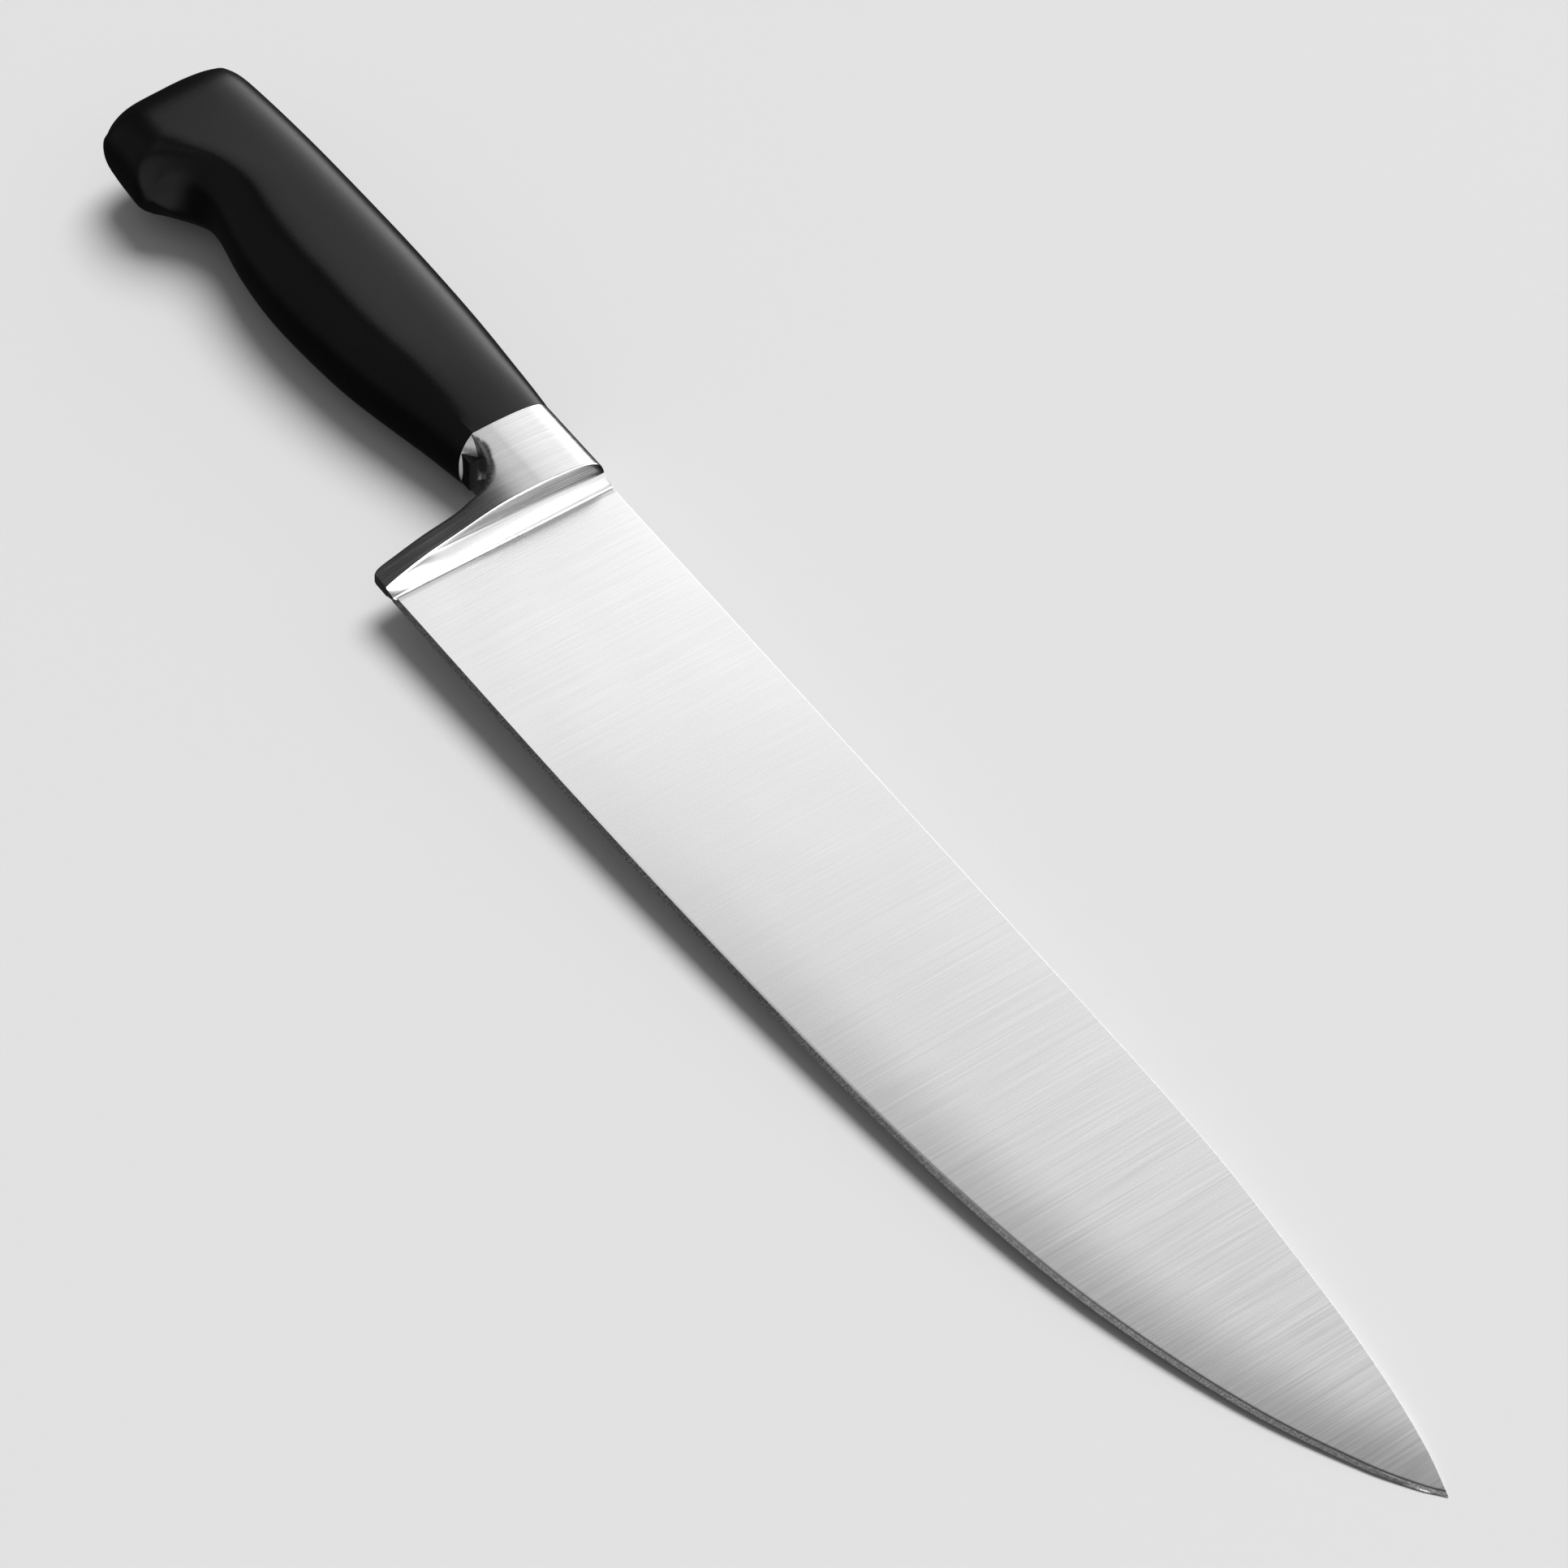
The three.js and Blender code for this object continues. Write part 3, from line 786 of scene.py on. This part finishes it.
def make_half_shell(name, side, skin):
    """Outer skin of one shell, closed across the middle plane."""
    bm = bmesh.new()
    sections = [[(p.x, p.y, p.z * side) for p in section] for section in skin]
    sections[0] = [(JOINT_X - JOINT_GAP, y, z) for _, y, z in sections[0]]
    for section in sections:
        first, last = section[0], section[-1]
        section += [(last[0], last[1], 0.0), (first[0], first[1], 0.0)]
    rows = add_rings(bm, sections)
    bm.faces.new(rows[0])
    bm.faces.new(rows[-1])
    return add_object(name, bm)


def make_pocket(name, x_low, x_high):
    """A closed hollow inside the handle wall, between two cross ribs."""
    steps = 12
    stations = [lerp(x_high, x_low, i / steps) for i in range(steps + 1)]
    return loft_mirrored(name, [[tuple(p) for p in handle_section(x, HANDLE_WALL)] for x in stations])


def make_shell(name, side, skin):
    """One handle shell, hollowed by pockets, a slot for the tang and a seat for its sleeve.

    The cuts leave some open edges, nearly all of them on the middle plane.
    """
    shell = make_half_shell(name, side, skin)
    for x_low, x_high in POCKETS:
        shell = combine(shell, make_pocket("pocket", x_low, x_high), "DIFFERENCE")
    slot = make_tang("slot", TANG_START_X, TANG_END_X, SLOT_CLEARANCE)
    shell = combine(shell, slot, "DIFFERENCE")
    seat = make_tang("sleeve_seat", TANG_START_X, SLEEVE_END_X, SLEEVE_CLEARANCE)
    shell = combine(shell, seat, "DIFFERENCE")
    return shade(shell, 30)


# ---- materials --------------------------------------------------------------------------------------

class Nodes:
    """A short way to write a material's node tree."""

    def __init__(self, tree):
        self.tree = tree
        tree.nodes.clear()

    def add(self, kind, **settings):
        node = self.tree.nodes.new(kind)
        for key, value in settings.items():
            setattr(node, key, value)
        return node

    def link(self, source, target):
        self.tree.links.new(source, target)

    def math(self, operation, a, b):
        node = self.add("ShaderNodeMath", operation=operation)
        for socket, value in zip(node.inputs, (a, b)):
            if isinstance(value, (int, float)):
                socket.default_value = value
            else:
                self.link(value, socket)
        return node.outputs[0]

    def ramp(self, value, low, high, out_low=0.0, out_high=1.0, interpolation="SMOOTHSTEP"):
        node = self.add("ShaderNodeMapRange", interpolation_type=interpolation)
        self.link(value, node.inputs["Value"])
        node.inputs["From Min"].default_value = low
        node.inputs["From Max"].default_value = high
        node.inputs["To Min"].default_value = out_low
        node.inputs["To Max"].default_value = out_high
        return node.outputs[0]

    def knife_mm(self):
        """Position in the knife's own frame, in millimetres."""
        place = self.add("ShaderNodeTexCoord")
        mapping = self.add("ShaderNodeMapping", vector_type="TEXTURE")
        mapping.inputs["Location"].default_value = KNIFE.translation
        mapping.inputs["Rotation"].default_value = (0.0, REST_TILT, 0.0)
        mapping.inputs["Scale"].default_value = (MM, MM, MM)
        self.link(place.outputs["Object"], mapping.inputs["Vector"])
        return mapping.outputs[0]

    def parts(self, vector):
        node = self.add("ShaderNodeSeparateXYZ")
        self.link(vector, node.inputs[0])
        return node.outputs

    def stored(self, name):
        """A value that the mesh stores at each of its points."""
        return self.add("ShaderNodeAttribute", attribute_name=name).outputs["Fac"]

    def scaled(self, vector, scale):
        node = self.add("ShaderNodeVectorMath", operation="MULTIPLY")
        self.link(vector, node.inputs[0])
        node.inputs[1].default_value = scale
        return node.outputs[0]

    def noise(self, vector, scale, detail=3.0, roughness=0.55):
        """Noise with its own size, in features per millimetre along X, Y and Z."""
        node = self.add("ShaderNodeTexNoise")
        node.inputs["Scale"].default_value = 1.0
        node.inputs["Detail"].default_value = detail
        node.inputs["Roughness"].default_value = roughness
        self.link(self.scaled(vector, scale), node.inputs["Vector"])
        return node.outputs["Fac"]

    def grey(self, value):
        node = self.add("ShaderNodeCombineColor")
        for socket in node.inputs:
            self.link(value, socket)
        return node.outputs[0]

    def bump(self, height, strength, distance_mm):
        node = self.add("ShaderNodeBump")
        node.inputs["Strength"].default_value = strength
        node.inputs["Distance"].default_value = distance_mm * MM
        self.link(height, node.inputs["Height"])
        return node.outputs[0]


def principled(name):
    material = bpy.data.materials.new(name)
    material.use_nodes = True
    nodes = Nodes(material.node_tree)
    shader = nodes.add("ShaderNodeBsdfPrincipled")
    output = nodes.add("ShaderNodeOutputMaterial")
    nodes.link(shader.outputs[0], output.inputs[0])
    return material, nodes, shader


def edge_shade(nodes, near_tip, above_bevel):
    """Painted shade: towards the tip, the face is darker near the edge, most of all in a line above the
    bevel.
    """
    near_edge = nodes.ramp(above_bevel, 16.0, 0.0)
    edge_line = nodes.ramp(above_bevel, 0.7, 0.1, 0.0, 0.6)
    edge_line = nodes.math("MULTIPLY", edge_line, nodes.ramp(above_bevel, -0.05, 0.1))
    near_edge = nodes.math("ADD", nodes.math("MULTIPLY", near_edge, 0.36), edge_line)
    return nodes.math("MULTIPLY", nodes.math("MULTIPLY", near_tip, near_edge), -1.0)


def cheek_shade(nodes, x, y):
    """Painted shade: the bolster's cheek is darker towards the spine, dimming its highlight there."""
    return nodes.math("MULTIPLY", nodes.ramp(y, -9.0, -1.0, 0.0, -0.3), nodes.ramp(x, -3.0, -3.6))


def foot_shade(nodes, x):
    """Painted shade: a darker line on the blade, in the crease along the foot of the cove."""
    on_blade = nodes.ramp(x, -0.4, -0.2)
    return nodes.math("MULTIPLY", nodes.ramp(x, 1.3, 0.3), nodes.math("MULTIPLY", on_blade, -0.3))


def wedge_shade(nodes, place):
    """Painted shade darkens the steep wedge of the bolster, which has fine grind lines along it."""
    wedge_lines = nodes.noise(place, (0.5, 0.03, 4.0), detail=2.0)
    dark = nodes.ramp(wedge_lines, 0.35, 0.65, -0.6, -0.25)
    return nodes.math("MULTIPLY", nodes.stored(WEDGE_ATTRIBUTE), dark)


def bevel_shade(nodes, place, above_bevel):
    """The edge bevel is speckled, as it is after sharpening."""
    speckle = nodes.noise(place, (3.0, 3.0, 3.0), detail=2.0)
    on_bevel = nodes.ramp(above_bevel, 0.05, -0.05)
    return nodes.math("MULTIPLY", on_bevel, nodes.ramp(speckle, 0.4, 0.65, -0.4, 0.1))


def steel_tone(nodes, place, lines):
    """How bright the steel is: streaked by its grind lines, then changed part by part, by painted shade
    and by the bevel's speckle.
    """
    x, y, _ = nodes.parts(place)
    above_bevel = nodes.stored(BEVEL_ATTRIBUTE)
    finish_and_highlight = nodes.stored(FINISH_AND_HIGHLIGHT_ATTRIBUTE)
    near_tip = nodes.ramp(x, 20.0, 230.0)
    streaks = nodes.ramp(lines, 0.3, 0.7, -1.0, 1.0, "LINEAR")
    blade_depth = nodes.ramp(near_tip, 0.0, 1.0, 0.02, 0.12, "LINEAR")
    depth = nodes.math("ADD", blade_depth, nodes.ramp(finish_and_highlight, 1.0, 0.0, 0.0, 0.11))
    tone = nodes.math("ADD", nodes.math("MULTIPLY", streaks, depth), 1.0)
    # The blade is brighter than the bolster; the cove gets painted shade above and a painted highlight
    # at the heel.
    tone = nodes.math("MULTIPLY", tone, nodes.ramp(finish_and_highlight, -1.0, 1.0, 0.49, 0.97, "LINEAR"))
    # Painted shade: the blade darkens towards the tip.
    tone = nodes.math("MULTIPLY", tone, nodes.ramp(x, 10.0, 120.0, 1.0, 0.87))
    changes = (
        edge_shade(nodes, near_tip, above_bevel),
        cheek_shade(nodes, x, y),
        foot_shade(nodes, x),
        wedge_shade(nodes, place),
        bevel_shade(nodes, place, above_bevel),
    )
    for change in changes:
        tone = nodes.math("MULTIPLY", tone, nodes.math("ADD", change, 1.0))
    return tone


def satin_steel():
    """Steel with grind lines across the blade, which show more towards the tip and on the bolster."""
    material, nodes, shader = principled("satin_steel")
    place = nodes.knife_mm()
    fine = nodes.noise(place, (3.0, 0.015, 0.3), detail=2.0)
    coarse = nodes.noise(place, (2.2, 0.04, 0.1), detail=2.0)
    slow = nodes.noise(place, (0.02, 0.03, 0.05), detail=2.0)
    lines = nodes.math("ADD", nodes.math("MULTIPLY", fine, 0.4), nodes.math("MULTIPLY", coarse, 0.6))
    nodes.link(nodes.grey(steel_tone(nodes, place, lines)), shader.inputs["Base Color"])
    rough = nodes.ramp(coarse, 0.3, 0.7, 0.22, 0.27, "LINEAR")
    rough = nodes.math("ADD", rough, nodes.ramp(slow, 0.3, 0.7, 0.0, 0.03))
    nodes.link(rough, shader.inputs["Roughness"])
    nodes.link(nodes.bump(lines, 0.14, 0.012), shader.inputs["Normal"])
    shader.inputs["Metallic"].default_value = 1.0
    return material


def matte_polymer():
    """Handle: matte black moulded plastic with a fine leathery grain."""
    material, nodes, shader = principled("matte_polymer")
    place = nodes.knife_mm()
    grain = nodes.noise(place, (3.2, 3.2, 3.2), detail=3.0, roughness=0.6)
    cloud = nodes.noise(place, (0.08, 0.08, 0.08), detail=3.0)
    black = nodes.ramp(cloud, 0.3, 0.7, 0.0020, 0.0032, "LINEAR")
    nodes.link(nodes.grey(black), shader.inputs["Base Color"])
    nodes.link(nodes.ramp(grain, 0.3, 0.7, 0.27, 0.37, "LINEAR"), shader.inputs["Roughness"])
    nodes.link(nodes.bump(grain, 0.35, 0.03), shader.inputs["Normal"])
    shader.inputs["Specular IOR Level"].default_value = 0.34
    return material


def cured_adhesive():
    """Adhesive round the tang: dull, clouded grey."""
    material, nodes, shader = principled("cured_adhesive")
    place = nodes.knife_mm()
    cloud = nodes.noise(place, (0.5, 0.5, 0.5), detail=4.0)
    nodes.link(nodes.grey(nodes.ramp(cloud, 0.3, 0.7, 0.14, 0.2, "LINEAR")), shader.inputs["Base Color"])
    nodes.link(nodes.ramp(cloud, 0.3, 0.7, 0.5, 0.7, "LINEAR"), shader.inputs["Roughness"])
    nodes.link(nodes.bump(cloud, 0.4, 0.1), shader.inputs["Normal"])
    return material


def pale_table():
    """The floor: plain pale grey."""
    material, _, shader = principled("pale_table")
    shader.inputs["Base Color"].default_value = (0.72, 0.72, 0.72, 1.0)
    shader.inputs["Roughness"].default_value = 0.7
    shader.inputs["Specular IOR Level"].default_value = 0.2
    return material


# ---- pieces on the frame ----------------------------------------------------------------------------

def dress(piece, material, node):
    """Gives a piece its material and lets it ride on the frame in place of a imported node."""
    piece.data.materials.clear()
    piece.data.materials.append(material)
    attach(piece, "root")
    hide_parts(node)


def make_knife():
    """The steel and both shells as fine meshes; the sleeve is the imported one, with a material."""
    polymer = matte_polymer()
    skin = handle_skin()
    dress(make_steel(), satin_steel(), "blade_bolster_tang")
    dress(make_shell("handle_right", 1, skin), polymer, "handle_shell_right")
    dress(make_shell("handle_left", -1, skin), polymer, "handle_shell_left")
    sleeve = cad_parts["tang_adhesive_sleeve"]
    sleeve.data.materials.clear()
    sleeve.data.materials.append(cured_adhesive())


# ---- table, light and camera ------------------------------------------------------------------------

def make_table():
    """The floor under the knife, which the knife does not mirror."""
    reach = 6.0
    mesh = bpy.data.meshes.new("table")
    low = cad_box[0].z
    mesh.from_pydata(
        [(-reach, -reach, low), (reach, -reach, low), (reach, reach, low), (-reach, reach, low)],
        [], [(0, 1, 2, 3)],
    )
    table = bpy.data.objects.new("table", mesh)
    bpy.context.scene.collection.objects.link(table)
    table.data.materials.append(pale_table())
    table.visible_glossy = False


# The studio. The knife mirrors a world that does not light the table: a soft key light overhead, a
# wide softbox behind it, whose brightness by height is SOFTBOX_HEIGHTS, and dim lights in front and
# to the side. The table is lit by a broad key lamp from beyond the butt, and by an even fill.
KEY_DIRECTION = (0.30, 0.06, 0.95)
KEY_STRENGTH = 12.5
KEY_EDGE_DEGREES = 16
KEY_FULL_DEGREES = 4
SOFTBOX_STRENGTH = 3.6
SOFTBOX_HEIGHTS = [
    (0.03, 0.0), (0.12, 1.0), (0.37, 1.0), (0.5, 0.55),
    (0.62, 0.35), (0.79, 0.36), (0.87, 0.14), (0.95, 0.0),
]
DIM_LIGHT = 0.02
FRONT_LIGHT = 0.125
SIDE_LIGHT = 0.5
# Each lamp: its name, the direction it shines from, its width in degrees and its strength.
TABLE_LIGHTS = [
    ("table_key", (-0.25, 0.40, 0.88), 38, 2.85),
    ("table_fill", (0.0, 0.0, 1.0), 160, 0.75),
]


def key_light(nodes, direction):
    """A round soft light overhead."""
    dot = nodes.add("ShaderNodeVectorMath", operation="DOT_PRODUCT")
    nodes.link(direction, dot.inputs[0])
    dot.inputs[1].default_value = Vector(KEY_DIRECTION).normalized()
    edge = math.cos(math.radians(KEY_EDGE_DEGREES))
    full = math.cos(math.radians(KEY_FULL_DEGREES))
    return nodes.ramp(dot.outputs["Value"], edge, full, 0.0, KEY_STRENGTH)


def softbox_light(nodes, x, y, z):
    """A wide softbox behind the spine, which fades out towards the butt."""
    heights = nodes.add("ShaderNodeValToRGB")
    stops = heights.color_ramp.elements
    while len(stops) < len(SOFTBOX_HEIGHTS):
        stops.new(0.5)
    for stop, (height, level) in zip(stops, SOFTBOX_HEIGHTS):
        stop.position = height
        stop.color = (level, level, level, 1.0)
    nodes.link(z, heights.inputs[0])
    softbox = nodes.math("MULTIPLY", heights.outputs["Color"], SOFTBOX_STRENGTH)
    softbox = nodes.math("MULTIPLY", softbox, nodes.ramp(y, 0.15, 0.36))
    return nodes.math("MULTIPLY", softbox, nodes.ramp(x, -0.82, -0.6))


def front_light(nodes, y, z):
    """A dim glow from the cutting edge's side, which fades out below the table."""
    glow = nodes.ramp(y, 0.0, -0.6, 0.0, FRONT_LIGHT)
    return nodes.math("MULTIPLY", glow, nodes.ramp(z, -0.5, 0.1))


def side_light(nodes, x, y, z):
    """A low light from the tip's side, in front of the cutting edge."""
    side = nodes.ramp(x, 0.05, 0.35, 0.0, SIDE_LIGHT)
    side = nodes.math("MULTIPLY", side, nodes.ramp(z, 0.42, 0.25))
    return nodes.math("MULTIPLY", side, nodes.ramp(y, 0.1, -0.3))


def light_studio():
    world = bpy.data.worlds.new("studio")
    bpy.context.scene.world = world
    world.use_nodes = True
    nodes = Nodes(world.node_tree)
    direction = nodes.add("ShaderNodeTexCoord").outputs["Generated"]
    x, y, z = nodes.parts(direction)
    total = nodes.math("ADD", key_light(nodes, direction), DIM_LIGHT)
    for light in (softbox_light(nodes, x, y, z), front_light(nodes, y, z), side_light(nodes, x, y, z)):
        total = nodes.math("ADD", total, light)
    background = nodes.add("ShaderNodeBackground")
    nodes.link(nodes.grey(total), background.inputs["Color"])
    output = nodes.add("ShaderNodeOutputWorld")
    nodes.link(background.outputs[0], output.inputs[0])
    world.cycles_visibility.diffuse = False


def light_table():
    for name, direction, degrees, strength in TABLE_LIGHTS:
        data = bpy.data.lights.new(name, "SUN")
        data.angle = math.radians(degrees)
        data.energy = strength
        lamp = bpy.data.objects.new(name, data)
        lamp.visible_glossy = False
        lamp.rotation_euler = Vector(direction).to_track_quat("Z", "Y").to_euler()
        bpy.context.scene.collection.objects.link(lamp)


# The camera looks at a point beside the knife's origin, from a distance in metres.
CAMERA_AZIMUTH = math.radians(52.93)
CAMERA_ELEVATION = math.radians(48.715)
CAMERA_ROLL = math.radians(-2.092)
CAMERA_DISTANCE = 0.96022
CAMERA_AIM = (0.077619, -0.015690, 0.0)
CAMERA_LENS = 121.96
SENSOR_WIDTH = 36.0


def place_camera():
    """Looks down on the right face from beyond the heel, with the handle at the top left."""
    aim = KNIFE.translation + Vector(CAMERA_AIM)
    back = Vector((
        math.sin(CAMERA_AZIMUTH) * math.cos(CAMERA_ELEVATION),
        -math.cos(CAMERA_AZIMUTH) * math.cos(CAMERA_ELEVATION),
        math.sin(CAMERA_ELEVATION),
    ))
    level_right = (-back).cross(Vector((0, 0, 1))).normalized()
    level_down = (-back).cross(level_right)
    right = level_right * math.cos(CAMERA_ROLL) + level_down * math.sin(CAMERA_ROLL)
    up = back.cross(right)
    data = bpy.data.cameras.new("camera")
    data.sensor_width = SENSOR_WIDTH
    data.lens = CAMERA_LENS
    data.clip_start = 0.05
    data.clip_end = 50.0
    camera = bpy.data.objects.new("camera", data)
    bpy.context.scene.collection.objects.link(camera)
    pose = Matrix((right, up, back)).transposed().to_4x4()
    pose.translation = aim + back * CAMERA_DISTANCE
    camera.matrix_world = pose
    bpy.context.scene.camera = camera


def set_tone():
    bpy.context.scene.view_settings.view_transform = "Standard"
    bpy.context.scene.view_settings.look = "None"


make_knife()
make_table()
light_studio()
light_table()
place_camera()
set_tone()
